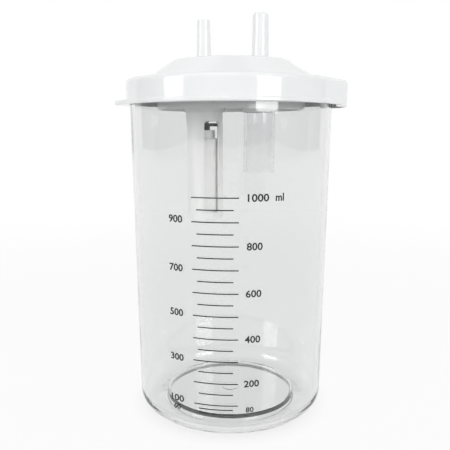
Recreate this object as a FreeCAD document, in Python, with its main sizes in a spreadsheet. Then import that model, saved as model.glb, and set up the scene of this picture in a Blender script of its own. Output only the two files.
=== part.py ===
import FreeCAD, Part
import math
import os
import Sketcher

# A one-litre suction canister: a clear moulded jar with a pouring spout, a white push-on lid
# with two hose nozzles, and a float that shuts the vacuum port when the jar is full.
# Millimetres. The origin is on the jar's axis at the surface that it stands on, +Z is up,
# the front is -Y, and the spout and the lid's beak point along +X.

doc = FreeCAD.newDocument("suction_canister")

# Driving sizes, each written once
driving_sizes = {
    "jar_height": 180.5,
    "jar_base_radius": 53.2,
    "jar_flare": 1.25,
    "jar_wall": 2.0,
    "jar_corner_radius": 9.5,
    "jar_rim_round": 0.6,
    "foot_width": 17.0,
    "recess_depth": 4.2,
    "recess_taper": 1.5,
    "recess_round": 0.5,
    "gate_radius": 4.7,
    "gate_depth": 0.4,
    "plateau_floor": 2.6,
    "plateau_step_wall": 1.5,
    "plateau_round": 0.7,
    "channel_floor": 2.6,
    "spout_inset": 11.55,
    "spout_foot_radius": 11.0,
    "spout_rim_radius": 17.8,
    "spout_depth": 8.5,
    "spout_wall": 1.8,
    "scale_zero_height": 7.55,
    "scale_mark_height": 0.55,
    "scale_ink": 0.12,
    "scale_ink_gap": 0.02,
    "scale_azimuth": -98.7,
    "scale_long_angle": 24.7,
    "scale_short_angle": 19.3,
    "gasket_thickness": 1.6,
    "gasket_overhang": 1.2,
    "gasket_clearance": 0.3,
    "lid_clearance": 0.3,
    "lid_wall": 1.8,
    "skirt_wall": 1.55,
    "skirt_drop": 9.5,
    "skirt_top_round": 2.3,
    "beak_wall": 1.6,
    "beak_clearance": 0.7,
    "beak_drop": 1.2,
    "beak_foot_round": 1.0,
    "bead_proud": 0.8,
    "bead_height": 2.2,
    "bead_round": 0.6,
    "tab_radius": 25.0,
    "ledge_width": 10.5,
    "dome_run": 14.5,
    "dome_rise": 9.7,
    "dome_shoulder_round": 3.0,
    "hump_centre": 13.0,
    "hump_inset": 10.7,
    "hump_run": 16.0,
    "hump_rise": 9.2,
    "inner_ring_inset": 5.8,
    "inner_ring_wall": 1.5,
    "inner_ring_drop": 2.6,
    "stub_drop": 3.8,
    "stub_socket_depth": 12.0,
    "tube_fit": 0.05,
    "vacuum_x": -14.5,
    "vacuum_nozzle_foot_radius": 4.0,
    "vacuum_nozzle_tip_radius": 3.35,
    "vacuum_nozzle_length": 20.9,
    "vacuum_bore_radius": 2.1,
    "vacuum_stub_wall": 1.05,
    "vacuum_seat_radius": 4.6,
    "vacuum_seat_drop": 3.0,
    "patient_x": 15.7,
    "patient_nozzle_foot_radius": 4.5,
    "patient_nozzle_tip_radius": 4.15,
    "patient_nozzle_length": 24.6,
    "patient_nozzle_chamfer": 0.9,
    "patient_bore_radius": 3.0,
    "patient_stub_wall": 0.85,
    "cage_radius": 10.1,
    "cage_wall": 1.5,
    "cage_length": 69.7,
    "cage_slot_width": 8.4,
    "cage_foot_band": 3.7,
    "cage_head_band": 16.6,
    "cage_slot_round": 1.8,
    "cage_slot_azimuth": -34.0,
    "retainer_thickness": 2.5,
    "retainer_hole_radius": 2.2,
    "retainer_hole_circle": 5.0,
    "float_clearance": 0.2,
    "float_play": 1.2,
    "float_travel": 6.5,
    "float_neck_radius": 5.7,
    "float_neck_height": 4.4,
    "float_edge_round": 0.6,
    "seal_shank_radius": 3.0,
    "seal_shank_height": 2.0,
    "seal_disc_play": 0.7,
    "seal_disc_thickness": 1.7,
    "seal_edge_round": 0.4,
    "seal_stem_radius": 2.0,
    "seal_stem_depth": 4.0,
    "drop_tube_radius": 8.5,
    "drop_tube_wall": 1.4,
    "drop_tube_length": 44.2,
}

# Sizes that follow from the driving ones, as formulas of the sheet above
derived_formulas = {
    "jar_rim_radius": "Sizes.jar_base_radius + Sizes.jar_flare",
    "recess_radius": "Sizes.jar_base_radius - Sizes.foot_width",
    "plateau_top": "Sizes.recess_depth + Sizes.plateau_floor",
    "plateau_radius": "Derived.recess_radius + Sizes.plateau_step_wall",
    "recess_foot_radius": "Derived.recess_radius + Sizes.recess_taper",
    "gate_height": "Sizes.recess_depth - Sizes.gate_depth",
    "jar_draft": "Sizes.jar_flare / Sizes.jar_height",
    "jar_inner_base_radius": "Sizes.jar_base_radius - Sizes.jar_wall",
    "jar_inner_rim_radius": "Derived.jar_rim_radius - Sizes.jar_wall",
    "jar_inner_corner": "Sizes.jar_corner_radius - Sizes.jar_wall",
    "spout_centre": "Derived.jar_rim_radius - Sizes.spout_inset",
    "spout_foot": "Sizes.jar_height - Sizes.spout_depth",
    "spout_inner_foot_radius": "Sizes.spout_foot_radius - Sizes.spout_wall",
    "spout_inner_rim_radius": "Sizes.spout_rim_radius - Sizes.spout_wall",
    "ledge_under": "Sizes.jar_height + Sizes.gasket_thickness",
    "lid_top": "Derived.ledge_under + Sizes.lid_wall",
    "skirt_foot": "Sizes.jar_height - Sizes.skirt_drop",
    "skirt_height": "Derived.lid_top - Derived.skirt_foot",
    "skirt_inner_radius": "Derived.jar_rim_radius + Sizes.lid_clearance",
    "skirt_radius": "Derived.skirt_inner_radius + Sizes.skirt_wall",
    "beak_inner_radius": "Sizes.spout_rim_radius + Sizes.beak_clearance",
    "beak_radius": "Derived.beak_inner_radius + Sizes.beak_wall",
    "bead_radius": "Derived.skirt_radius + Sizes.bead_proud",
    "bead_top": "Derived.skirt_foot + Sizes.bead_height",
    "tab_centre": "Derived.spout_centre + Derived.beak_radius - Sizes.tab_radius",
    "beak_foot": "Derived.skirt_foot - Sizes.beak_drop",
    "beak_foot_height": "Sizes.beak_drop + Sizes.bead_height",
    "cavity_depth": "Derived.ledge_under - Derived.beak_foot",
    "gasket_radius": "Derived.skirt_inner_radius - Sizes.gasket_clearance",
    "gasket_lobe_radius": "Derived.beak_inner_radius - Sizes.gasket_clearance",
    "gasket_hole_radius": "Derived.jar_inner_rim_radius - Sizes.gasket_overhang",
    "gasket_hole_lobe_radius": "Derived.spout_inner_rim_radius - Sizes.gasket_overhang",
    "dome_foot_radius": "Derived.skirt_radius - Sizes.ledge_width",
    "dome_shoulder_radius": "Derived.dome_foot_radius - Sizes.dome_run",
    "dome_slope": "Sizes.dome_rise / Sizes.dome_run",
    "dome_wall_shift": "Sizes.lid_wall * sqrt(1 + 1 / Derived.dome_slope ^ 2)",
    "dome_base": "Derived.lid_top - Sizes.lid_wall / 2",
    "dome_top": "Derived.lid_top + Sizes.dome_rise",
    "dome_inner_top": "Derived.dome_top - Sizes.lid_wall",
    "dome_inner_foot_radius": (
        "Derived.dome_foot_radius + Sizes.lid_wall / Derived.dome_slope - Derived.dome_wall_shift"
    ),
    "dome_inner_shoulder_radius": (
        "Derived.dome_shoulder_radius + Sizes.lid_wall / Derived.dome_slope"
        " - Derived.dome_wall_shift"
    ),
    "hollow_base": "Derived.ledge_under - Sizes.lid_wall",
    "hump_foot_radius": "Derived.dome_foot_radius - Sizes.hump_inset",
    "hump_top_radius": "Derived.hump_foot_radius - Sizes.hump_run",
    "hump_slope": "Sizes.hump_rise / Sizes.hump_run",
    "hump_wall_shift": "Sizes.lid_wall * sqrt(1 + 1 / Derived.hump_slope ^ 2)",
    "hump_inner_foot_radius": (
        "Derived.hump_foot_radius + Sizes.lid_wall / Derived.hump_slope - Derived.hump_wall_shift"
    ),
    "hump_inner_top_radius": (
        "Derived.hump_top_radius + Sizes.lid_wall / Derived.hump_slope - Derived.hump_wall_shift"
    ),
    "inner_ring_radius": "Derived.dome_foot_radius - Sizes.inner_ring_inset",
    "ring_inner_radius": "Derived.inner_ring_radius - Sizes.inner_ring_wall",
    "ring_foot": "Derived.skirt_foot - Sizes.inner_ring_drop",
    "ring_top": (
        "Derived.lid_top - 0.3 * Sizes.lid_wall"
        " + Sizes.inner_ring_inset * Derived.dome_slope"
    ),
    "ring_height": "Derived.ring_top - Derived.ring_foot",
    "stub_foot": "Derived.skirt_foot - Sizes.stub_drop",
    "socket_top": "Derived.stub_foot + Sizes.stub_socket_depth",
    "cage_inner_radius": "Sizes.cage_radius - Sizes.cage_wall",
    "vacuum_socket_radius": "Sizes.cage_radius + Sizes.tube_fit",
    "vacuum_stub_radius": "Derived.vacuum_socket_radius + Sizes.vacuum_stub_wall",
    "drop_tube_inner_radius": "Sizes.drop_tube_radius - Sizes.drop_tube_wall",
    "patient_socket_radius": "Sizes.drop_tube_radius + Sizes.tube_fit",
    "patient_stub_radius": "Derived.patient_socket_radius + Sizes.patient_stub_wall",
    "stub_roof": "Derived.dome_inner_top - Sizes.lid_wall",
    "seat_foot": "Derived.skirt_foot - Sizes.vacuum_seat_drop",
    "vacuum_nozzle_top": "Derived.dome_top + Sizes.vacuum_nozzle_length",
    "patient_nozzle_top": "Derived.dome_top + Sizes.patient_nozzle_length",
    "patient_tip_edge": "Derived.patient_nozzle_top - Sizes.patient_nozzle_chamfer",
    "patient_tip_radius": "Sizes.patient_nozzle_tip_radius - Sizes.patient_nozzle_chamfer",
    "cage_bottom": "Derived.socket_top - Sizes.cage_length",
    "cage_slot_height": "Sizes.cage_length - Sizes.cage_foot_band - Sizes.cage_head_band",
    "cage_slot_half": "Sizes.cage_slot_width / 2",
    "slot_reach": "Sizes.cage_radius + Sizes.cage_wall",
    "retainer_radius": "Derived.cage_inner_radius - Sizes.tube_fit",
    "float_bottom": "Derived.cage_bottom + Sizes.retainer_thickness + Sizes.float_clearance",
    "float_height": (
        "Derived.seat_foot - Sizes.float_travel - Sizes.seal_disc_thickness"
        " - Sizes.seal_shank_height - Derived.float_bottom"
    ),
    "float_shoulder_height": "Derived.float_height - Sizes.float_neck_height",
    "float_radius": "Derived.cage_inner_radius - Sizes.float_play",
    "seal_disc_radius": "Derived.cage_inner_radius - Sizes.seal_disc_play",
    "float_socket_radius": "Sizes.seal_stem_radius + Sizes.tube_fit",
    "float_socket_floor": "Derived.float_height - Sizes.seal_stem_depth - Sizes.float_clearance",
    "stem_bottom": "Derived.float_bottom + Derived.float_height - Sizes.seal_stem_depth",
    "seal_disc_foot": "Sizes.seal_stem_depth + Sizes.seal_shank_height",
    "seal_height": "Derived.seal_disc_foot + Sizes.seal_disc_thickness",
    "scale_zero_radius": (
        "Derived.jar_inner_base_radius + Derived.jar_draft * Sizes.scale_zero_height"
    ),
    "mark_stand_off": "Sizes.scale_ink_gap + Derived.jar_draft * Sizes.scale_mark_height",
    "drop_tube_bottom": "Derived.socket_top - Sizes.drop_tube_length",
}

# Scale marks: millilitres at each long and each short line
long_marks = [100, 200, 300, 400, 500, 600, 700, 800, 900, 1000]
short_marks = [60, 80, 150, 250, 350, 450, 550, 650, 750, 850, 950]
cubic_mm_per_ml = 1000.0
cage_slot_count = 3
retainer_hole_count = 4


def make_sheet(label, cells):
    sheet = doc.addObject("Spreadsheet::Sheet", label)
    sheet.Label = label
    for row, (alias, text) in enumerate(cells.items(), start=1):
        sheet.set(f"A{row}", alias)
        sheet.set(f"B{row}", text)
        sheet.setAlias(f"B{row}", alias)
    doc.recompute()
    return sheet


# A mark's level is where the tapered jar, filled from the scale's zero, holds its volume
for volume in long_marks + short_marks:
    cube = f"Derived.scale_zero_radius ^ 3 + {3 * cubic_mm_per_ml * volume} * Derived.jar_draft / pi"
    level = f"(cbrt({cube}) - Derived.jar_inner_base_radius) / Derived.jar_draft"
    derived_formulas[f"mark_{volume}_foot"] = f"{level} - Sizes.scale_mark_height / 2"
    derived_formulas[f"mark_{volume}_radius"] = (
        f"Sizes.jar_base_radius + Derived.jar_draft * Derived.mark_{volume}_foot"
        " + Derived.mark_stand_off"
    )

sizes = make_sheet("Sizes", {alias: repr(size) for alias, size in driving_sizes.items()})
derived = make_sheet("Derived", {alias: "=" + text for alias, text in derived_formulas.items()})


def number(alias):
    # The value behind an alias of either sheet; 0 stands for the axis
    if alias == 0:
        return 0.0
    sheet = sizes if alias in driving_sizes else derived
    return float(getattr(sheet, alias))


def formula(alias):
    return ("Sizes." if alias in driving_sizes else "Derived.") + alias


def new_body(label):
    body = doc.addObject("PartDesign::Body", label)
    body.Label = label
    body.AllowCompound = False
    return body


def new_sketch(body, name, role="XY_Plane", level=None):
    # A sketch on one of the body's own planes, raised to a named level
    sketch = body.newObject("Sketcher::SketchObject", name)
    plane = next(item for item in body.Origin.OriginFeatures if item.Role == role)
    sketch.AttachmentSupport = [(plane, "")]
    sketch.MapMode = "FlatFace"
    if level is not None:
        sketch.setExpression("AttachmentOffset.Base.z", formula(level))
    return sketch


def drive(sketch, kind, *parts, alias):
    # A dimension of the sketch that follows a cell of the sheets
    index = sketch.addConstraint(Sketcher.Constraint(kind, *parts, number(alias)))
    sketch.setExpression(f"Constraints[{index}]", formula(alias))


def pin_point(sketch, element, point, across, up):
    # Fixes one point by its distances from the two axes
    if across == 0:
        sketch.addConstraint(Sketcher.Constraint("PointOnObject", element, point, -2))
    else:
        drive(sketch, "DistanceX", -1, 1, element, point, alias=across)
    if up == 0:
        sketch.addConstraint(Sketcher.Constraint("PointOnObject", element, point, -1))
    else:
        drive(sketch, "DistanceY", -1, 1, element, point, alias=up)


def closed_profile(sketch, corners):
    # A closed outline of straight sides through named corners
    points = [FreeCAD.Vector(number(across), number(up), 0) for across, up in corners]
    count = len(points)
    for side in range(count):
        sketch.addGeometry(Part.LineSegment(points[side], points[(side + 1) % count]), False)
    for side in range(count):
        sketch.addConstraint(Sketcher.Constraint("Coincident", side, 2, (side + 1) % count, 1))
    for side, (across, up) in enumerate(corners):
        pin_point(sketch, side, 1, across, up)


def tapered_outline(sketch, radius, lobe_centre, lobe_radius):
    # A circle about the axis and a smaller one at +X, joined by straight tangents
    main_size = number(radius)
    lobe_size = number(lobe_radius)
    centre = number(lobe_centre)
    turn = math.acos((main_size - lobe_size) / centre)
    up_vector = FreeCAD.Vector(0, 0, 1)
    main_circle = Part.Circle(FreeCAD.Vector(0, 0, 0), up_vector, main_size)
    lobe_circle = Part.Circle(FreeCAD.Vector(centre, 0, 0), up_vector, lobe_size)
    main_arc, lobe_arc, high_side, low_side = range(4)
    sketch.addGeometry(Part.ArcOfCircle(main_circle, turn, 2 * math.pi - turn), False)
    sketch.addGeometry(Part.ArcOfCircle(lobe_circle, -turn, turn), False)
    for arc_end, lobe_end in ((1, 2), (2, 1)):
        start = sketch.getPoint(main_arc, arc_end)
        end = sketch.getPoint(lobe_arc, lobe_end)
        sketch.addGeometry(Part.LineSegment(start, end), False)
    joints = [
        (main_arc, 1, high_side, 1),
        (high_side, 2, lobe_arc, 2),
        (main_arc, 2, low_side, 1),
        (low_side, 2, lobe_arc, 1),
    ]
    for first, first_end, second, second_end in joints:
        sketch.addConstraint(Sketcher.Constraint("Tangent", first, first_end, second, second_end))
    sketch.addConstraint(Sketcher.Constraint("Coincident", main_arc, 3, -1, 1))
    drive(sketch, "Radius", main_arc, alias=radius)
    pin_point(sketch, lobe_arc, 3, lobe_centre, 0)
    drive(sketch, "Radius", lobe_arc, alias=lobe_radius)


def circle_at(sketch, across, up, radius):
    # A round outline about a named point of the sketch
    middle = FreeCAD.Vector(number(across), number(up), 0)
    circle = Part.Circle(middle, FreeCAD.Vector(0, 0, 1), number(radius))
    index = sketch.addGeometry(circle, False)
    pin_point(sketch, index, 3, across, up)
    drive(sketch, "Radius", index, alias=radius)


def box_outline(sketch, across, up, width, height):
    # A rectangle from its named lower inner corner
    first = sketch.GeometryCount
    left = number(across)
    low = number(up)
    right = left + number(width)
    high = low + number(height)
    corners = [(left, low), (right, low), (right, high), (left, high)]
    points = [FreeCAD.Vector(x, y, 0) for x, y in corners]
    for side in range(4):
        sketch.addGeometry(Part.LineSegment(points[side], points[(side + 1) % 4]), False)
    for side in range(4):
        following = first + (side + 1) % 4
        sketch.addConstraint(Sketcher.Constraint("Coincident", first + side, 2, following, 1))
        level = "Horizontal" if side % 2 == 0 else "Vertical"
        sketch.addConstraint(Sketcher.Constraint(level, first + side))
    pin_point(sketch, first, 1, across, up)
    drive(sketch, "DistanceX", first, 1, first, 2, alias=width)
    drive(sketch, "DistanceY", first + 1, 1, first + 1, 2, alias=height)


def pad(body, sketch, name, height):
    feature = body.newObject("PartDesign::Pad", name)
    feature.Profile = sketch
    feature.setExpression("Length", formula(height))
    doc.recompute()
    return feature


def pocket_up(body, sketch, name, depth):
    # Cuts upwards from the sketch, and makes sure that it cut something
    before = body.Shape.Volume
    feature = body.newObject("PartDesign::Pocket", name)
    feature.Profile = sketch
    feature.setExpression("Length", formula(depth))
    feature.Reversed = True
    doc.recompute()
    if body.Shape.Volume >= before:
        raise RuntimeError(name + " cuts nothing")
    return feature


def turned(body, sketch, name, kind="PartDesign::Revolution"):
    # A full turn of the sketch about the vertical axis
    feature = body.newObject(kind, name)
    feature.Profile = sketch
    feature.ReferenceAxis = (sketch, ["V_Axis"])
    feature.Angle = 360.0
    doc.recompute()
    return feature


def cone(body, kind, name, foot_radius, top_radius, height, place):
    feature = body.newObject(kind, name)
    feature.setExpression("Radius1", formula(foot_radius))
    feature.setExpression("Radius2", formula(top_radius))
    feature.setExpression("Height", formula(height))
    for axis, alias in zip("xyz", place):
        if alias != 0:
            feature.setExpression("Placement.Base." + axis, formula(alias))
    before = body.Shape.Volume
    doc.recompute()
    if abs(body.Shape.Volume - before) < 1:
        raise RuntimeError(name + " changes nothing")
    return feature


def flat_edges(feature, level, wanted=None):
    # Names of the edges that lie flat at a named level, and meet a further test
    height = number(level)
    names = []
    for index, edge in enumerate(feature.Shape.Edges, start=1):
        box = edge.BoundBox
        if max(abs(box.ZMin - height), abs(box.ZMax - height)) > 1e-4:
            continue
        if wanted is None or wanted(edge):
            names.append(f"Edge{index}")
    return names


def round_off(body, feature, names, name, radius):
    if not names:
        raise RuntimeError(name + " finds no edge")
    finish = body.newObject("PartDesign::Fillet", name)
    finish.Base = (feature, names)
    finish.setExpression("Radius", formula(radius))
    doc.recompute()
    if finish.Shape.isNull():
        raise RuntimeError(name + " failed")
    return finish


def of_radius(*aliases):
    # Picks circles and arcs of the named radii
    def wanted(edge):
        radius = getattr(edge.Curve, "Radius", 0)
        return any(abs(radius - number(alias)) < 1e-4 for alias in aliases)
    return wanted


def place_body(body, across=0, up=0, level=0, turn=None):
    for axis, alias in zip("xyz", (across, up, level)):
        if alias != 0:
            body.setExpression("Placement.Base." + axis, formula(alias))
    if turn is not None:
        body.setExpression("Placement.Rotation.Angle", formula(turn))


def make_jar():
    body = new_body("jar")
    section = new_sketch(body, "jar_section", "XZ_Plane")
    closed_profile(section, [
        (0, "gate_height"),
        ("gate_radius", "gate_height"),
        ("gate_radius", "recess_depth"),
        ("recess_radius", "recess_depth"),
        ("recess_foot_radius", 0),
        ("jar_base_radius", 0),
        ("jar_rim_radius", "jar_height"),
        (0, "jar_height"),
    ])
    solid = turned(body, section, "jar_outside")
    cone(
        body, "PartDesign::AdditiveCone", "spout_outside",
        "spout_foot_radius", "spout_rim_radius", "spout_depth", ("spout_centre", 0, "spout_foot"),
    )
    cavity = new_sketch(body, "jar_cavity_section", "XZ_Plane")
    closed_profile(cavity, [
        (0, "plateau_top"),
        ("plateau_radius", "plateau_top"),
        ("plateau_radius", "channel_floor"),
        ("jar_inner_base_radius", "channel_floor"),
        ("jar_inner_rim_radius", "jar_height"),
        (0, "jar_height"),
    ])
    groove = turned(body, cavity, "jar_inside", "PartDesign::Groove")
    if groove.Shape.Volume >= 0.5 * solid.Shape.Volume:
        raise RuntimeError("the jar is not hollow")
    hollow = cone(
        body, "PartDesign::SubtractiveCone", "spout_inside",
        "spout_inner_foot_radius", "spout_inner_rim_radius", "spout_depth",
        ("spout_centre", 0, "spout_foot"),
    )
    corner = round_off(
        body, hollow, flat_edges(hollow, "channel_floor", of_radius("jar_inner_base_radius")),
        "inside_corner", "jar_inner_corner",
    )
    # The outer corner is rounded after the inner one, so that the wall between stays whole
    base = [f"Edge{i}" for i, edge in enumerate(corner.Shape.Edges, start=1)
            if edge.BoundBox.ZMax < 1e-4 and of_radius("jar_base_radius")(edge)]
    outer = round_off(body, corner, base, "base_corner", "jar_corner_radius")
    plateau = flat_edges(outer, "plateau_top")
    plateau += flat_edges(outer, "channel_floor", of_radius("plateau_radius"))
    step = round_off(body, outer, plateau, "plateau_rounds", "plateau_round")
    foot = round_off(
        body, step, flat_edges(step, "recess_depth", of_radius("recess_radius")),
        "recess_round", "recess_round",
    )
    round_off(body, foot, flat_edges(foot, "jar_height"), "rim_round", "jar_rim_round")
    return body


def make_lid():
    body = new_body("lid")
    # The bead runs round the skirt's foot and widens into the pull tab at -X
    bead_outline = new_sketch(body, "bead_outline", level="skirt_foot")
    bead_outline.AttachmentOffset = FreeCAD.Placement(
        FreeCAD.Vector(0, 0, number("skirt_foot")), FreeCAD.Rotation(FreeCAD.Vector(0, 0, 1), 180)
    )
    tapered_outline(bead_outline, "bead_radius", "tab_centre", "tab_radius")
    bead = pad(body, bead_outline, "bead_and_tab", "bead_height")
    bead_edges = flat_edges(bead, "bead_top") + flat_edges(bead, "skirt_foot")
    round_off(body, bead, bead_edges, "bead_edge", "bead_round")
    outline = new_sketch(body, "skirt_outline", level="skirt_foot")
    tapered_outline(outline, "skirt_radius", "spout_centre", "beak_radius")
    skirt = pad(body, outline, "skirt", "skirt_height")
    round_off(body, skirt, flat_edges(skirt, "lid_top"), "skirt_top", "skirt_top_round")
    beak_outline = new_sketch(body, "beak_outline", level="beak_foot")
    circle_at(beak_outline, "spout_centre", 0, "beak_radius")
    beak = pad(body, beak_outline, "beak", "beak_foot_height")
    round_off(body, beak, flat_edges(beak, "beak_foot"), "beak_edge", "beak_foot_round")

    dome_section = new_sketch(body, "dome_section", "XZ_Plane")
    closed_profile(dome_section, [
        (0, "dome_base"),
        ("dome_foot_radius", "dome_base"),
        ("dome_foot_radius", "lid_top"),
        ("dome_shoulder_radius", "dome_top"),
        (0, "dome_top"),
    ])
    dome = turned(body, dome_section, "dome")
    shoulder = flat_edges(dome, "dome_top", of_radius("dome_shoulder_radius"))
    round_off(body, dome, shoulder, "dome_shoulder", "dome_shoulder_round")
    cone(
        body, "PartDesign::AdditiveCone", "hump",
        "hump_foot_radius", "hump_top_radius", "hump_rise", ("hump_centre", 0, "lid_top"),
    )

    # Hollow from below: the rim space, the dome and the hump, all at the lid's wall
    cavity = new_sketch(body, "cavity_outline", level="beak_foot")
    tapered_outline(cavity, "skirt_inner_radius", "spout_centre", "beak_inner_radius")
    pocket_up(body, cavity, "rim_space", "cavity_depth")
    hollow_section = new_sketch(body, "hollow_section", "XZ_Plane")
    closed_profile(hollow_section, [
        (0, "hollow_base"),
        ("dome_inner_foot_radius", "hollow_base"),
        ("dome_inner_foot_radius", "ledge_under"),
        ("dome_inner_shoulder_radius", "dome_inner_top"),
        (0, "dome_inner_top"),
    ])
    turned(body, hollow_section, "dome_hollow", "PartDesign::Groove")
    cone(
        body, "PartDesign::SubtractiveCone", "hump_hollow",
        "hump_inner_foot_radius", "hump_inner_top_radius", "hump_rise",
        ("hump_centre", 0, "ledge_under"),
    )

    # A ring hangs from the dome, and each nozzle passes through the crown
    ring = new_sketch(body, "inner_ring_outline", level="ring_foot")
    circle_at(ring, 0, 0, "inner_ring_radius")
    circle_at(ring, 0, 0, "ring_inner_radius")
    pad(body, ring, "inner_ring", "ring_height")
    holes = new_sketch(body, "nozzle_holes_outline", level="dome_inner_top")
    circle_at(holes, "vacuum_x", 0, "vacuum_nozzle_foot_radius")
    circle_at(holes, "patient_x", 0, "patient_nozzle_foot_radius")
    pocket_up(body, holes, "nozzle_holes", "lid_wall")
    return body


def turned_piece(label, across, corners):
    # One turned shape about an upright axis beside the jar's
    body = new_body(label)
    section = new_sketch(body, label + "_section", "XZ_Plane")
    closed_profile(section, corners)
    turned(body, section, label + "_shape")
    place_body(body, across)
    return body


def make_vacuum_nozzle():
    # Its lower end hangs inside the stub as the valve seat
    return turned_piece("vacuum_nozzle", "vacuum_x", [
        ("vacuum_bore_radius", "seat_foot"),
        ("vacuum_seat_radius", "seat_foot"),
        ("vacuum_seat_radius", "stub_roof"),
        ("vacuum_nozzle_foot_radius", "stub_roof"),
        ("vacuum_nozzle_foot_radius", "dome_top"),
        ("vacuum_nozzle_tip_radius", "vacuum_nozzle_top"),
        ("vacuum_bore_radius", "vacuum_nozzle_top"),
    ])


def make_patient_nozzle():
    return turned_piece("patient_nozzle", "patient_x", [
        ("patient_bore_radius", "stub_roof"),
        ("patient_nozzle_foot_radius", "stub_roof"),
        ("patient_nozzle_foot_radius", "dome_top"),
        ("patient_nozzle_tip_radius", "patient_tip_edge"),
        ("patient_tip_radius", "patient_nozzle_top"),
        ("patient_bore_radius", "patient_nozzle_top"),
    ])


def make_vacuum_stub():
    # A cup under the crown: a socket for the cage, and narrower above the cage's end
    return turned_piece("vacuum_stub", "vacuum_x", [
        ("vacuum_nozzle_foot_radius", "stub_roof"),
        ("cage_inner_radius", "stub_roof"),
        ("cage_inner_radius", "socket_top"),
        ("vacuum_socket_radius", "socket_top"),
        ("vacuum_socket_radius", "stub_foot"),
        ("vacuum_stub_radius", "stub_foot"),
        ("vacuum_stub_radius", "dome_inner_top"),
        ("vacuum_nozzle_foot_radius", "dome_inner_top"),
    ])


def make_patient_stub():
    return turned_piece("patient_stub", "patient_x", [
        ("patient_nozzle_foot_radius", "stub_roof"),
        ("drop_tube_inner_radius", "stub_roof"),
        ("drop_tube_inner_radius", "socket_top"),
        ("patient_socket_radius", "socket_top"),
        ("patient_socket_radius", "stub_foot"),
        ("patient_stub_radius", "stub_foot"),
        ("patient_stub_radius", "dome_inner_top"),
        ("patient_nozzle_foot_radius", "dome_inner_top"),
    ])


def make_gasket():
    body = new_body("rim_gasket")
    outline = new_sketch(body, "gasket_outline", level="jar_height")
    tapered_outline(outline, "gasket_radius", "spout_centre", "gasket_lobe_radius")
    pad(body, outline, "gasket_sheet", "gasket_thickness")
    hole = new_sketch(body, "gasket_hole", level="jar_height")
    tapered_outline(hole, "gasket_hole_radius", "spout_centre", "gasket_hole_lobe_radius")
    pocket_up(body, hole, "gasket_opening", "gasket_thickness")
    return body


def tube(label, radius, inner_radius, height):
    # A plain tube about its own axis, standing on its own base plane
    body = new_body(label)
    ends = new_sketch(body, label + "_outline")
    circle_at(ends, 0, 0, radius)
    circle_at(ends, 0, 0, inner_radius)
    pad(body, ends, label + "_tube", height)
    return body


def make_cage():
    body = tube("float_cage", "cage_radius", "cage_inner_radius", "cage_length")
    window = new_sketch(body, "slot_outline", "XZ_Plane")
    half = number("cage_slot_half")
    corner = number("cage_slot_round")
    low = number("cage_foot_band")
    high = low + number("cage_slot_height")
    corners = [(half, low), (half, high), (-half, high), (-half, low)]
    inward = [(-1, 1), (-1, -1), (1, -1), (1, 1)]
    up_vector = FreeCAD.Vector(0, 0, 1)
    for index, ((across, up), (step_x, step_y)) in enumerate(zip(corners, inward)):
        middle = FreeCAD.Vector(across + step_x * corner, up + step_y * corner, 0)
        first = (index - 1) * math.pi / 2
        circle = Part.Circle(middle, up_vector, corner)
        window.addGeometry(Part.ArcOfCircle(circle, first, first + math.pi / 2), False)
    for index in range(4):
        start = window.getPoint(index, 2)
        end = window.getPoint((index + 1) % 4, 1)
        window.addGeometry(Part.LineSegment(start, end), False)
    for index in range(4):
        side = 4 + index
        window.addConstraint(Sketcher.Constraint("Tangent", index, 2, side, 1))
        window.addConstraint(Sketcher.Constraint("Tangent", side, 2, (index + 1) % 4, 1))
        upright = "Vertical" if index % 2 == 0 else "Horizontal"
        window.addConstraint(Sketcher.Constraint(upright, side))
        drive(window, "Radius", index, alias="cage_slot_round")
    right, top, left, bottom = range(4, 8)
    drive(window, "DistanceX", -1, 1, right, 1, alias="cage_slot_half")
    drive(window, "DistanceX", left, 1, -1, 1, alias="cage_slot_half")
    drive(window, "DistanceY", -1, 1, bottom, 1, alias="cage_foot_band")
    drive(window, "DistanceY", bottom, 1, top, 1, alias="cage_slot_height")
    slot = body.newObject("PartDesign::Pocket", "slot")
    slot.Profile = window
    slot.setExpression("Length", formula("slot_reach"))
    # The plane faces -Y, so the cut runs from the axis out through the wall at +Y
    doc.recompute()
    ring = body.newObject("PartDesign::PolarPattern", "slots")
    ring.Originals = [slot]
    ring.Axis = (next(item for item in body.Origin.OriginFeatures if item.Role == "Z_Axis"), [""])
    ring.Angle = 360.0
    ring.Occurrences = cage_slot_count
    body.Tip = ring
    doc.recompute()
    place_body(body, "vacuum_x", 0, "cage_bottom", "cage_slot_azimuth")
    return body


def make_retainer():
    body = new_body("float_retainer")
    plate = new_sketch(body, "retainer_outline")
    circle_at(plate, 0, 0, "retainer_radius")
    pad(body, plate, "retainer_plate", "retainer_thickness")
    drain = new_sketch(body, "drain_outline")
    circle_at(drain, "retainer_hole_circle", 0, "retainer_hole_radius")
    hole = pocket_up(body, drain, "drain", "retainer_thickness")
    ring = body.newObject("PartDesign::PolarPattern", "drains")
    ring.Originals = [hole]
    ring.Axis = (next(item for item in body.Origin.OriginFeatures if item.Role == "Z_Axis"), [""])
    ring.Angle = 360.0
    ring.Occurrences = retainer_hole_count
    body.Tip = ring
    doc.recompute()
    place_body(body, "vacuum_x", 0, "cage_bottom")
    return body


def make_float():
    body = new_body("float_body")
    section = new_sketch(body, "float_section", "XZ_Plane")
    closed_profile(section, [
        (0, 0),
        ("float_radius", 0),
        ("float_radius", "float_shoulder_height"),
        ("float_neck_radius", "float_shoulder_height"),
        ("float_neck_radius", "float_height"),
        ("float_socket_radius", "float_height"),
        ("float_socket_radius", "float_socket_floor"),
        (0, "float_socket_floor"),
    ])
    solid = turned(body, section, "float_solid")
    shoulder = flat_edges(solid, "float_shoulder_height", of_radius("float_radius"))
    round_off(body, solid, shoulder, "float_shoulder", "float_edge_round")
    place_body(body, "vacuum_x", 0, "float_bottom")
    return body


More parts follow.
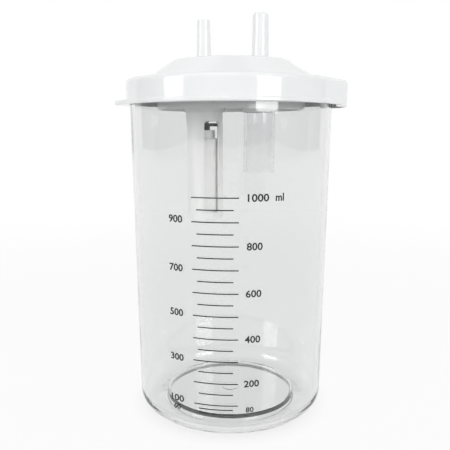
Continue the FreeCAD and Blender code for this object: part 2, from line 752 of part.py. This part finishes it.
def make_seal():
    body = new_body("float_seal")
    section = new_sketch(body, "seal_section", "XZ_Plane")
    closed_profile(section, [
        (0, 0),
        ("seal_stem_radius", 0),
        ("seal_stem_radius", "seal_stem_depth"),
        ("seal_shank_radius", "seal_stem_depth"),
        ("seal_shank_radius", "seal_disc_foot"),
        ("seal_disc_radius", "seal_disc_foot"),
        ("seal_disc_radius", "seal_height"),
        (0, "seal_height"),
    ])
    solid = turned(body, section, "seal_solid")
    rim = flat_edges(solid, "seal_height", of_radius("seal_disc_radius"))
    round_off(body, solid, rim, "seal_edge", "seal_edge_round")
    place_body(body, "vacuum_x", 0, "stem_bottom")
    return body


def make_drop_tube():
    body = tube("drop_tube", "drop_tube_radius", "drop_tube_inner_radius", "drop_tube_length")
    place_body(body, "patient_x", 0, "drop_tube_bottom")
    return body


def make_marks():
    # Printed lines: thin strips that follow the wall, long at each hundred and short between
    body = new_body("graduation_marks")
    body.AllowCompound = True
    for name, volumes in (("long", long_marks), ("short", short_marks)):
        sketch = new_sketch(body, name + "_mark_section", "XZ_Plane")
        for volume in volumes:
            box_outline(
                sketch, f"mark_{volume}_radius", f"mark_{volume}_foot", "scale_ink",
                "scale_mark_height",
            )
        lines = body.newObject("PartDesign::Revolution", name + "_marks")
        lines.Profile = sketch
        lines.ReferenceAxis = (sketch, ["V_Axis"])
        lines.Midplane = True
        lines.setExpression("Angle", formula(f"scale_{name}_angle"))
        doc.recompute()
    place_body(body, turn="scale_azimuth")
    return body


makers = [
    make_jar, make_lid, make_vacuum_nozzle, make_patient_nozzle, make_vacuum_stub,
    make_patient_stub, make_gasket, make_cage, make_retainer, make_float, make_seal,
    make_drop_tube, make_marks,
]
bodies = [make() for make in makers]
doc.recompute()

for item in doc.Objects:
    if "Invalid" in item.State or "Error" in item.State:
        raise RuntimeError(item.Name + " failed")
for body in bodies:
    if body.Shape.isNull() or not body.Shape.isValid():
        raise RuntimeError(body.Label + " has no valid shape")

os.makedirs("parts", exist_ok=True)
for body in bodies:
    box = body.Shape.optimalBoundingBox()
    print(body.Label, len(body.Shape.Solids), round(body.Shape.Volume), box)
    body.Shape.exportStep(os.path.join("parts", body.Label + ".step"))
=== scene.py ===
import math
import bpy
import bmesh
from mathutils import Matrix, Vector


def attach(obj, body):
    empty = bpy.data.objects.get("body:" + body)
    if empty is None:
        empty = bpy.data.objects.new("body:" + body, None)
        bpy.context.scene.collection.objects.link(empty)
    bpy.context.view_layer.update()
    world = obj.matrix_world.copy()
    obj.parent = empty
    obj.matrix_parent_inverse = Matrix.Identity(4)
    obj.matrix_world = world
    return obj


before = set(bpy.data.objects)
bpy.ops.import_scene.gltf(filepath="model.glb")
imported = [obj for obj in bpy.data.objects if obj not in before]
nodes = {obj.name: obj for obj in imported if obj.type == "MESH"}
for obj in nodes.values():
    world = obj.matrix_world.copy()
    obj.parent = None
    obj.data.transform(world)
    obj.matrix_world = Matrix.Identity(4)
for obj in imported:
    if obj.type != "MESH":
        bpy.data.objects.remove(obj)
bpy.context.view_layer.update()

print("frame loaded:", len(nodes), "nodes")


# Camera, as the photograph was taken: just below the lid, looking a little down
camera = {
    "place": (-0.0032, -0.3226, 0.1599),
    "pitch": 12.7,
    "focalPixels": 571.4,
    "imagePixels": 450,
    "centreDown": 30.0,      # pixels from the middle of the image down to the optical axis
}

lens = bpy.data.cameras.new("photoCamera")
lens.sensor_fit = "HORIZONTAL"
lens.sensor_width = 36.0
lens.lens = camera["focalPixels"] * lens.sensor_width / camera["imagePixels"]
lens.shift_y = camera["centreDown"] / camera["imagePixels"]
lens.clip_start = 0.01
lens.clip_end = 30
eye = bpy.data.objects.new("photoCamera", lens)
eye.location = camera["place"]
eye.rotation_euler = (math.radians(90 - camera["pitch"]), 0, 0)
bpy.context.scene.collection.objects.link(eye)
bpy.context.scene.camera = eye
bpy.context.scene.view_settings.view_transform = "Standard"


# Shader helpers
def addNode(tree, kind, place, **values):
    node = tree.nodes.new(kind)
    node.location = place
    for name, value in values.items():
        setattr(node, name, value)
    return node


def newGroup(name, inputs, outputs):
    group = bpy.data.node_groups.new(name, "ShaderNodeTree")
    for label, kind, value in inputs:
        socket = group.interface.new_socket(name=label, in_out="INPUT", socket_type=kind)
        socket.default_value = value
    for label, kind in outputs:
        group.interface.new_socket(name=label, in_out="OUTPUT", socket_type=kind)
    return group


# The slight unevenness of moulded plastic: gloss that varies, and a skin that ripples
def makeMouldedSkin():
    group = newGroup("mouldedSkin", [
        ("Gloss", "NodeSocketFloat", 0.2),
        ("Gloss Spread", "NodeSocketFloat", 0.05),
        ("Ripple Scale", "NodeSocketFloat", 40.0),
        ("Grain Scale", "NodeSocketFloat", 1500.0),
        ("Grain Share", "NodeSocketFloat", 0.2),
    ], [("Roughness", "NodeSocketFloat"), ("Height", "NodeSocketFloat"), ("Mask", "NodeSocketFloat")])
    start = addNode(group, "NodeGroupInput", (-900, 0))
    end = addNode(group, "NodeGroupOutput", (500, 0))
    place = addNode(group, "ShaderNodeTexCoord", (-900, 300))
    ripple = addNode(group, "ShaderNodeTexNoise", (-600, 200))
    ripple.inputs["Detail"].default_value = 2.0
    grain = addNode(group, "ShaderNodeTexNoise", (-600, -150))
    grain.inputs["Detail"].default_value = 1.0
    spread = addNode(group, "ShaderNodeMath", (-300, 250), operation="MULTIPLY_ADD")
    shift = addNode(group, "ShaderNodeMath", (-100, 250), operation="ADD", use_clamp=True)
    mixed = addNode(group, "ShaderNodeMath", (-100, -50), operation="MULTIPLY_ADD")
    centred = addNode(group, "ShaderNodeMath", (-450, 350), operation="SUBTRACT")
    centred.inputs[1].default_value = 0.5
    link = group.links.new
    for texture, scale in ((ripple, "Ripple Scale"), (grain, "Grain Scale")):
        link(place.outputs["Object"], texture.inputs["Vector"])
        link(start.outputs[scale], texture.inputs["Scale"])
    link(ripple.outputs["Fac"], centred.inputs[0])
    link(centred.outputs[0], spread.inputs[0])
    link(start.outputs["Gloss Spread"], spread.inputs[1])
    spread.inputs[2].default_value = 0.0
    link(spread.outputs[0], shift.inputs[0])
    link(start.outputs["Gloss"], shift.inputs[1])
    link(grain.outputs["Fac"], mixed.inputs[0])
    link(start.outputs["Grain Share"], mixed.inputs[1])
    link(ripple.outputs["Fac"], mixed.inputs[2])
    link(shift.outputs[0], end.inputs["Roughness"])
    link(mixed.outputs[0], end.inputs["Height"])
    link(ripple.outputs["Fac"], end.inputs["Mask"])
    return group


mouldedSkin = makeMouldedSkin()


# One plastic or rubber: two close colours, a moulded skin, and a see-through share if any
def makePlastic(name, colours, skin, bump, shader, shadowShare=None):
    material = bpy.data.materials.new(name)
    material.use_nodes = True
    tree = material.node_tree
    tree.nodes.clear()
    out = addNode(tree, "ShaderNodeOutputMaterial", (700, 0))
    body = addNode(tree, "ShaderNodeBsdfPrincipled", (200, 0))
    surface = addNode(tree, "ShaderNodeGroup", (-400, 0), node_tree=mouldedSkin)
    for label, value in skin.items():
        surface.inputs[label].default_value = value
    blend = addNode(tree, "ShaderNodeMix", (-150, 200), data_type="RGBA")
    blend.inputs["A"].default_value = (*colours[0], 1)
    blend.inputs["B"].default_value = (*colours[1], 1)
    relief = addNode(tree, "ShaderNodeBump", (-100, -250))
    relief.inputs["Strength"].default_value = bump[0]
    relief.inputs["Distance"].default_value = bump[1]
    link = tree.links.new
    link(surface.outputs["Mask"], blend.inputs["Factor"])
    link(blend.outputs["Result"], body.inputs["Base Color"])
    link(surface.outputs["Roughness"], body.inputs["Roughness"])
    link(surface.outputs["Height"], relief.inputs["Height"])
    link(relief.outputs["Normal"], body.inputs["Normal"])
    for label, value in shader.items():
        body.inputs[label].default_value = value
    if shadowShare is None:
        link(body.outputs[0], out.inputs["Surface"])
        return material
    # Some light passes a clear or thin wall, so it leaves no black shadow behind it
    path = addNode(tree, "ShaderNodeLightPath", (200, 400))
    share = addNode(tree, "ShaderNodeMath", (400, 300), operation="MULTIPLY")
    share.inputs[1].default_value = shadowShare
    clear = addNode(tree, "ShaderNodeBsdfTransparent", (200, -450))
    join = addNode(tree, "ShaderNodeMixShader", (500, 0))
    link(path.outputs["Is Shadow Ray"], share.inputs[0])
    link(share.outputs[0], join.inputs["Fac"])
    link(body.outputs[0], join.inputs[1])
    link(clear.outputs[0], join.inputs[2])
    link(join.outputs[0], out.inputs["Surface"])
    return material


jarPlastic = makePlastic(
    "jarPlastic", [(0.865, 0.87, 0.87), (0.89, 0.893, 0.893)],
    {"Gloss": 0.02, "Gloss Spread": 0.02, "Ripple Scale": 18.0, "Grain Scale": 900.0, "Grain Share": 0.02},
    (0.25, 0.0006), {"Transmission Weight": 1.0, "IOR": 1.57}, shadowShare=0.9,
)
tubePlastic = makePlastic(
    "tubePlastic", [(0.95, 0.96, 0.96), (0.98, 0.985, 0.985)],
    {"Gloss": 0.06, "Gloss Spread": 0.04, "Ripple Scale": 60.0, "Grain Scale": 900.0, "Grain Share": 0.05},
    (0.2, 0.0003), {"Transmission Weight": 1.0, "IOR": 1.5}, shadowShare=0.85,
)
lidPlastic = makePlastic(
    "lidPlastic", [(0.86, 0.865, 0.865), (0.89, 0.893, 0.893)],
    {"Gloss": 0.07, "Gloss Spread": 0.04, "Ripple Scale": 30.0, "Grain Scale": 2400.0, "Grain Share": 0.15},
    (0.3, 0.0002), {"IOR": 1.5},
)
cagePlastic = makePlastic(
    "cagePlastic", [(0.9, 0.9, 0.89), (0.93, 0.93, 0.92)],
    {"Gloss": 0.3, "Gloss Spread": 0.08, "Ripple Scale": 80.0, "Grain Scale": 2000.0, "Grain Share": 0.2},
    (0.3, 0.0002), {"IOR": 1.45}, shadowShare=0.5,
)
floatPlastic = makePlastic(
    "floatPlastic", [(0.88, 0.88, 0.87), (0.92, 0.92, 0.91)],
    {"Gloss": 0.28, "Gloss Spread": 0.1, "Ripple Scale": 90.0, "Grain Scale": 2000.0, "Grain Share": 0.2},
    (0.3, 0.0002), {"IOR": 1.45}, shadowShare=0.3,
)
sealRubber = makePlastic(
    "sealRubber", [(0.012, 0.012, 0.013), (0.03, 0.03, 0.032)],
    {"Gloss": 0.5, "Gloss Spread": 0.15, "Ripple Scale": 200.0, "Grain Scale": 5000.0, "Grain Share": 0.6},
    (0.5, 0.0002), {"IOR": 1.5},
)
gasketRubber = makePlastic(
    "gasketRubber", [(0.62, 0.62, 0.6), (0.72, 0.72, 0.7)],
    {"Gloss": 0.55, "Gloss Spread": 0.1, "Ripple Scale": 120.0, "Grain Scale": 4000.0, "Grain Share": 0.5},
    (0.4, 0.0002), {"IOR": 1.5},
)
scaleInk = makePlastic(
    "scaleInk", [(0.008, 0.008, 0.009), (0.022, 0.022, 0.024)],
    {"Gloss": 0.45, "Gloss Spread": 0.1, "Ripple Scale": 700.0, "Grain Scale": 6000.0, "Grain Share": 0.5},
    (0.3, 0.00005), {"IOR": 1.5},
)

finishes = {
    "jar": jarPlastic, "graduation_marks": scaleInk, "lid": lidPlastic, "rim_gasket": gasketRubber,
    "vacuum_nozzle": lidPlastic, "patient_nozzle": lidPlastic,
    "vacuum_stub": lidPlastic, "patient_stub": lidPlastic,
    "float_cage": cagePlastic, "float_retainer": cagePlastic,
    "float_body": floatPlastic, "float_seal": sealRubber, "drop_tube": tubePlastic,
}
for name, node in nodes.items():
    node.data.materials.clear()
    node.data.materials.append(finishes[name])
print("materials set on", len(finishes), "nodes")


# The printed scale's numbers, wrapped round the jar's slightly conical wall
jarWall = {
    "baseRadius": 0.0532,
    "flare": 0.00125,
    "height": 0.1805,
    "thickness": 0.002,
    "zeroHeight": 0.00755,
}
printed = {
    "gap": 0.00002,
    "thickness": 0.00012,
    "strokeSpread": 0.02,
    "digitHeight": 0.0038,
    "digitWidth": 0.00265,
    "smallHeight": 0.0029,
    "smallWidth": 0.0021,
    "unitWidth": 0.85,        # of a digit's width, for each letter of the unit
    "outlineWeld": 1e-5,      # points of a letter's flat face closer than this are one
    "edgeWeld": 2e-6,         # and those of its thickened edges
    "rightStart": 7.4,        # degrees round from the front towards +X, at middle height
    "leftEnd": -26.8,
    "smallRightStart": 8.7,
    "smallLeftEnd": -29.2,
    "unitStart": 22.3,
    "middleHeight": 0.075,
    "lean": 12.0,             # degrees per metre that the columns of numbers lean towards +X
    "lift": {900: 0.0009, 500: 0.0004, 100: 0.0009, 60: 0.0008},
    "right": [200, 400, 600, 800, 1000],
    "left": [100, 300, 500, 700, 900],
    "smallRight": [80],
    "smallLeft": [60],
}


def wallRadius(z):
    return jarWall["baseRadius"] + jarWall["flare"] * z / jarWall["height"]


def fluidHeight(millilitres):
    # The level with that much room between it and the scale's zero, inside the slightly conical jar
    slope = jarWall["flare"] / jarWall["height"]
    first = wallRadius(jarWall["zeroHeight"]) - jarWall["thickness"]
    wanted = millilitres * 1e-6 / math.pi
    rise = wanted / first ** 2
    for _ in range(8):
        rise = wanted / (first ** 2 + first * slope * rise + slope ** 2 * rise ** 2 / 3)
    return jarWall["zeroHeight"] + rise


# Lays a flat print on the wall: thickens it, rolls it round the jar's axis and inks it
def makeWrapTree():
    tree = bpy.data.node_groups.new("wrapOnWall", "GeometryNodeTree")
    face = tree.interface
    face.new_socket(name="Geometry", in_out="INPUT", socket_type="NodeSocketGeometry")
    for label in ("Base Radius", "Radius Slope", "Gap", "Ink Thickness"):
        face.new_socket(name=label, in_out="INPUT", socket_type="NodeSocketFloat")
    face.new_socket(name="Ink", in_out="INPUT", socket_type="NodeSocketMaterial")
    face.new_socket(name="Geometry", in_out="OUTPUT", socket_type="NodeSocketGeometry")
    start = addNode(tree, "NodeGroupInput", (-1200, 0))
    end = addNode(tree, "NodeGroupOutput", (1400, 0))
    link = tree.links.new

    def maths(operation, place, first, second=None):
        node = addNode(tree, "ShaderNodeMath", place, operation=operation)
        for socket, value in zip(node.inputs, (first, second)):
            if isinstance(value, (int, float)):
                socket.default_value = value
            elif value is not None:
                link(value, socket)
        return node.outputs[0]

    outward = addNode(tree, "ShaderNodeCombineXYZ", (-1000, -200))
    outward.inputs["Y"].default_value = -1.0
    front = addNode(tree, "GeometryNodeExtrudeMesh", (-700, 100), mode="FACES")
    front.inputs["Individual"].default_value = False
    link(start.outputs["Geometry"], front.inputs["Mesh"])
    link(outward.outputs[0], front.inputs["Offset"])
    link(start.outputs["Ink Thickness"], front.inputs["Offset Scale"])
    rear = addNode(tree, "GeometryNodeFlipFaces", (-700, -150))
    link(start.outputs["Geometry"], rear.inputs["Mesh"])
    both = addNode(tree, "GeometryNodeJoinGeometry", (-450, 0))
    link(front.outputs["Mesh"], both.inputs[0])
    link(rear.outputs["Mesh"], both.inputs[0])
    sealed = addNode(tree, "GeometryNodeMergeByDistance", (-250, 0))
    sealed.inputs["Distance"].default_value = printed["edgeWeld"]
    link(both.outputs[0], sealed.inputs["Geometry"])

    place = addNode(tree, "GeometryNodeInputPosition", (-1200, -500))
    parts = addNode(tree, "ShaderNodeSeparateXYZ", (-1000, -500))
    link(place.outputs[0], parts.inputs[0])
    along, inward, level = parts.outputs
    growth = maths("MULTIPLY", (-750, -450), level, start.outputs["Radius Slope"])
    wall = maths("ADD", (-550, -450), growth, start.outputs["Base Radius"])
    turn = maths("DIVIDE", (-350, -400), along, wall)
    clear = maths("ADD", (-350, -600), wall, start.outputs["Gap"])
    radius = maths("SUBTRACT", (-150, -600), clear, inward)
    across = maths("MULTIPLY", (150, -400), radius, maths("SINE", (0, -350), turn))
    depth = maths("MULTIPLY", (150, -600), radius, maths("COSINE", (0, -500), turn))
    rolled = addNode(tree, "ShaderNodeCombineXYZ", (500, -450))
    link(across, rolled.inputs["X"])
    link(maths("MULTIPLY", (320, -600), depth, -1.0), rolled.inputs["Y"])
    link(level, rolled.inputs["Z"])
    moved = addNode(tree, "GeometryNodeSetPosition", (700, 0))
    link(sealed.outputs[0], moved.inputs["Geometry"])
    link(rolled.outputs[0], moved.inputs["Position"])
    real = addNode(tree, "GeometryNodeRealizeInstances", (900, 0))
    link(moved.outputs[0], real.inputs[0])
    inked = addNode(tree, "GeometryNodeSetMaterial", (1150, 0))
    link(real.outputs[0], inked.inputs["Geometry"])
    link(start.outputs["Ink"], inked.inputs["Material"])
    link(inked.outputs[0], end.inputs["Geometry"])
    return tree


def flatText(words, height, width, z, start=None, end=None):
    # One print laid flat: X runs round the wall from the jar's front, Z is the height
    font = bpy.data.curves.new("print_" + words, "FONT")
    font.body = words
    font.size = 1.0
    font.offset = printed["strokeSpread"]
    font.resolution_u = 3
    shape = bpy.data.objects.new("print_" + words, font)
    bpy.context.scene.collection.objects.link(shape)
    bpy.context.view_layer.update()
    flat = bpy.data.meshes.new_from_object(shape.evaluated_get(bpy.context.evaluated_depsgraph_get()))
    bpy.data.objects.remove(shape)
    mesh = bmesh.new()
    mesh.from_mesh(flat)
    bpy.data.meshes.remove(flat)
    bmesh.ops.remove_doubles(mesh, verts=mesh.verts, dist=printed["outlineWeld"])
    low = [min(v.co[i] for v in mesh.verts) for i in (0, 1)]
    high = [max(v.co[i] for v in mesh.verts) for i in (0, 1)]
    wide = width / (high[0] - low[0])
    tall = height / (high[1] - low[1])
    radius = wallRadius(z)
    first = math.radians(start) * radius if start is not None else math.radians(end) * radius - width
    for v in mesh.verts:
        v.co = (first + (v.co.x - low[0]) * wide, 0, z + (v.co.y - low[1]) * tall - height / 2)
    mesh.normal_update()
    if sum(f.normal.y * f.calc_area() for f in mesh.faces) > 0:
        bmesh.ops.reverse_faces(mesh, faces=mesh.faces)
    return mesh


def bakeNodes(source, tree, values):
    # Runs a node tree on an object once and gives back the plain mesh
    modifier = source.modifiers.new("nodes", "NODES")
    modifier.node_group = tree
    for socket in tree.interface.items_tree:
        if socket.in_out == "INPUT" and socket.name in values:
            modifier[socket.identifier] = values[socket.name]
    bpy.context.view_layer.update()
    ready = source.evaluated_get(bpy.context.evaluated_depsgraph_get())
    data = bpy.data.meshes.new_from_object(ready)
    source.modifiers.remove(modifier)
    return data


def finishPiece(name, data, body):
    data.name = name
    piece = bpy.data.objects.new(name, data)
    bpy.context.scene.collection.objects.link(piece)
    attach(piece, body)
    return piece


def joinMeshes(parts):
    whole = bmesh.new()
    for part in parts:
        data = bpy.data.meshes.new("part")
        part.to_mesh(data)
        part.free()
        whole.from_mesh(data)
        bpy.data.meshes.remove(data)
    return whole


def makeNumbers():
    tall, wide = printed["digitHeight"], printed["digitWidth"]
    short, narrow = printed["smallHeight"], printed["smallWidth"]
    right, left = {"start": printed["rightStart"]}, {"end": printed["leftEnd"]}
    smallRight, smallLeft = {"start": printed["smallRightStart"]}, {"end": printed["smallLeftEnd"]}
    lean, middle = printed["lean"], printed["middleHeight"]
    rows = [(str(amount), tall, wide, amount, right) for amount in printed["right"]]
    rows += [(str(amount), tall, wide, amount, left) for amount in printed["left"]]
    rows += [(str(amount), short, narrow, amount, smallRight) for amount in printed["smallRight"]]
    rows += [(str(amount), short, narrow, amount, smallLeft) for amount in printed["smallLeft"]]
    rows.append(("ml", tall, wide * printed["unitWidth"], 1000, {"start": printed["unitStart"]}))
    parts = []
    for words, height, letter, amount, side in rows:
        level = fluidHeight(amount)
        turned = {edge: angle + lean * (level - middle) for edge, angle in side.items()}
        lifted = level + printed["lift"].get(amount, 0)
        parts.append(flatText(words, height, letter * len(words), lifted, **turned))
    flat = bpy.data.meshes.new("flatNumbers")
    sheet = joinMeshes(parts)
    sheet.to_mesh(flat)
    sheet.free()
    source = bpy.data.objects.new("flatNumbers", flat)
    bpy.context.scene.collection.objects.link(source)
    data = bakeNodes(source, makeWrapTree(), {
        "Base Radius": jarWall["baseRadius"],
        "Radius Slope": jarWall["flare"] / jarWall["height"],
        "Gap": printed["gap"],
        "Ink Thickness": printed["thickness"],
        "Ink": scaleInk,
    })
    bpy.data.objects.remove(source)
    return finishPiece("scaleNumbers", data, "jar_body")


makeNumbers()
print("scale numbers printed")


# Floor and backdrop: white to the eye and in gloss and clear plastic, still shaded by the jar, with a
# painted shadow where the floor glows less under it
stageSizes = {
    "floorHalf": 3.0,
    "backdropY": 1.6,
    "backdropTop": 3.0,
    "mattWhite": 0.75,
    "paintedShadowShare": 0.72,      # how white the floor glows under the jar, lowered there as a painted shadow, and then beside it
    "nearShare": 0.92,
    "paintedShadowRadius": 0.044,
    "paintedShadowFadeRadius": 0.062,
    "nearRadius": 0.22,
    "farRadius": 0.8,
}


def makeStageMaterial(name, paintedShadowShare, nearShare):
    material = bpy.data.materials.new(name)
    material.use_nodes = True
    tree = material.node_tree
    tree.nodes.clear()
    link = tree.links.new
    out = addNode(tree, "ShaderNodeOutputMaterial", (600, 0))
    matt = addNode(tree, "ShaderNodeBsdfDiffuse", (0, 0))
    matt.inputs["Color"].default_value = (*[stageSizes["mattWhite"]] * 3, 1)
    glow = addNode(tree, "ShaderNodeEmission", (0, -200))
    path = addNode(tree, "ShaderNodeLightPath", (-600, 300))
    seen = addNode(tree, "ShaderNodeMath", (-350, 300), operation="ADD")
    through = addNode(tree, "ShaderNodeMath", (-150, 300), operation="ADD", use_clamp=True)
    place = addNode(tree, "ShaderNodeTexCoord", (-1100, 600))
    distance = addNode(tree, "ShaderNodeVectorMath", (-900, 600), operation="LENGTH")
    link(place.outputs["Object"], distance.inputs[0])
    # The first step dims the glow under the jar as a painted shadow that fades out beside it. The second
    # brings the floor up to full white far away.
    steps = [(stageSizes["paintedShadowRadius"], stageSizes["paintedShadowFadeRadius"], paintedShadowShare, nearShare),
             (stageSizes["nearRadius"], stageSizes["farRadius"], 0.0, 1.0 - nearShare)]
    share = addNode(tree, "ShaderNodeMath", (-350, 600), operation="ADD")
    for index, (first, last, low, high) in enumerate(steps):
        step = addNode(tree, "ShaderNodeMapRange", (-650, 700 - 300 * index),
                       interpolation_type="SMOOTHSTEP")
        for label, value in zip(("From Min", "From Max", "To Min", "To Max"), (first, last, low, high)):
            step.inputs[label].default_value = value
        link(distance.outputs["Value"], step.inputs["Value"])
        link(step.outputs["Result"], share.inputs[index])
    part = addNode(tree, "ShaderNodeMath", (50, 300), operation="MULTIPLY")
    join = addNode(tree, "ShaderNodeMixShader", (300, 0))
    link(path.outputs["Is Camera Ray"], seen.inputs[0])
    link(path.outputs["Is Glossy Ray"], seen.inputs[1])
    link(seen.outputs[0], through.inputs[0])
    link(path.outputs["Is Transmission Ray"], through.inputs[1])
    link(through.outputs[0], part.inputs[0])
    link(share.outputs[0], part.inputs[1])
    link(part.outputs[0], join.inputs["Fac"])
    link(matt.outputs[0], join.inputs[1])
    link(glow.outputs[0], join.inputs[2])
    link(join.outputs[0], out.inputs["Surface"])
    return material


def makePlane(name, corners, material):
    data = bpy.data.meshes.new(name)
    data.from_pydata(corners, [], [(0, 1, 2, 3)])
    data.materials.append(material)
    plane = bpy.data.objects.new(name, data)
    bpy.context.scene.collection.objects.link(plane)
    return plane


half, back, top = stageSizes["floorHalf"], stageSizes["backdropY"], stageSizes["backdropTop"]
makePlane("floor", [(-half, -half, 0), (half, -half, 0), (half, back, 0), (-half, back, 0)],
          makeStageMaterial("floorWhite", stageSizes["paintedShadowShare"], stageSizes["nearShare"]))
makePlane("backdrop", [(-half, back, 0), (half, back, 0), (half, back, top), (-half, back, top)],
          makeStageMaterial("backdropWhite", 1.0, 1.0))

# Light: a soft top box, two tall windows that the lid's skirt mirrors, and an even room
lights = {
    "top": {"place": (0.1, -0.3, 1.3), "target": (0, 0, 0.1), "size": (1.2, 1.2), "power": 2.7},
    "leftWindow": {"place": (-1.137, -0.63, 0.57), "target": (0, 0, 0.57), "size": (0.505, 0.67),
                   "power": 6.5},
    "rightWindow": {"place": (0.806, -1.02, 0.54), "target": (0, 0, 0.54), "size": (0.57, 0.73),
                    "power": 7.2},
}
for name, light in lights.items():
    lamp = bpy.data.lights.new(name, "AREA")
    lamp.shape = "RECTANGLE"
    lamp.size, lamp.size_y = light["size"]
    lamp.energy = light["power"]
    holder = bpy.data.objects.new(name, lamp)
    holder.location = light["place"]
    aim = Vector(light["target"]) - Vector(light["place"])
    holder.rotation_euler = aim.to_track_quat("-Z", "Y").to_euler()
    bpy.context.scene.collection.objects.link(holder)

world = bpy.data.worlds.new("room")
world.use_nodes = True
bpy.context.scene.world = world
room = world.node_tree.nodes["Background"]
room.inputs["Color"].default_value = (0.97, 0.985, 1.0, 1)
room.inputs["Strength"].default_value = 0.5
print("stage and light set")
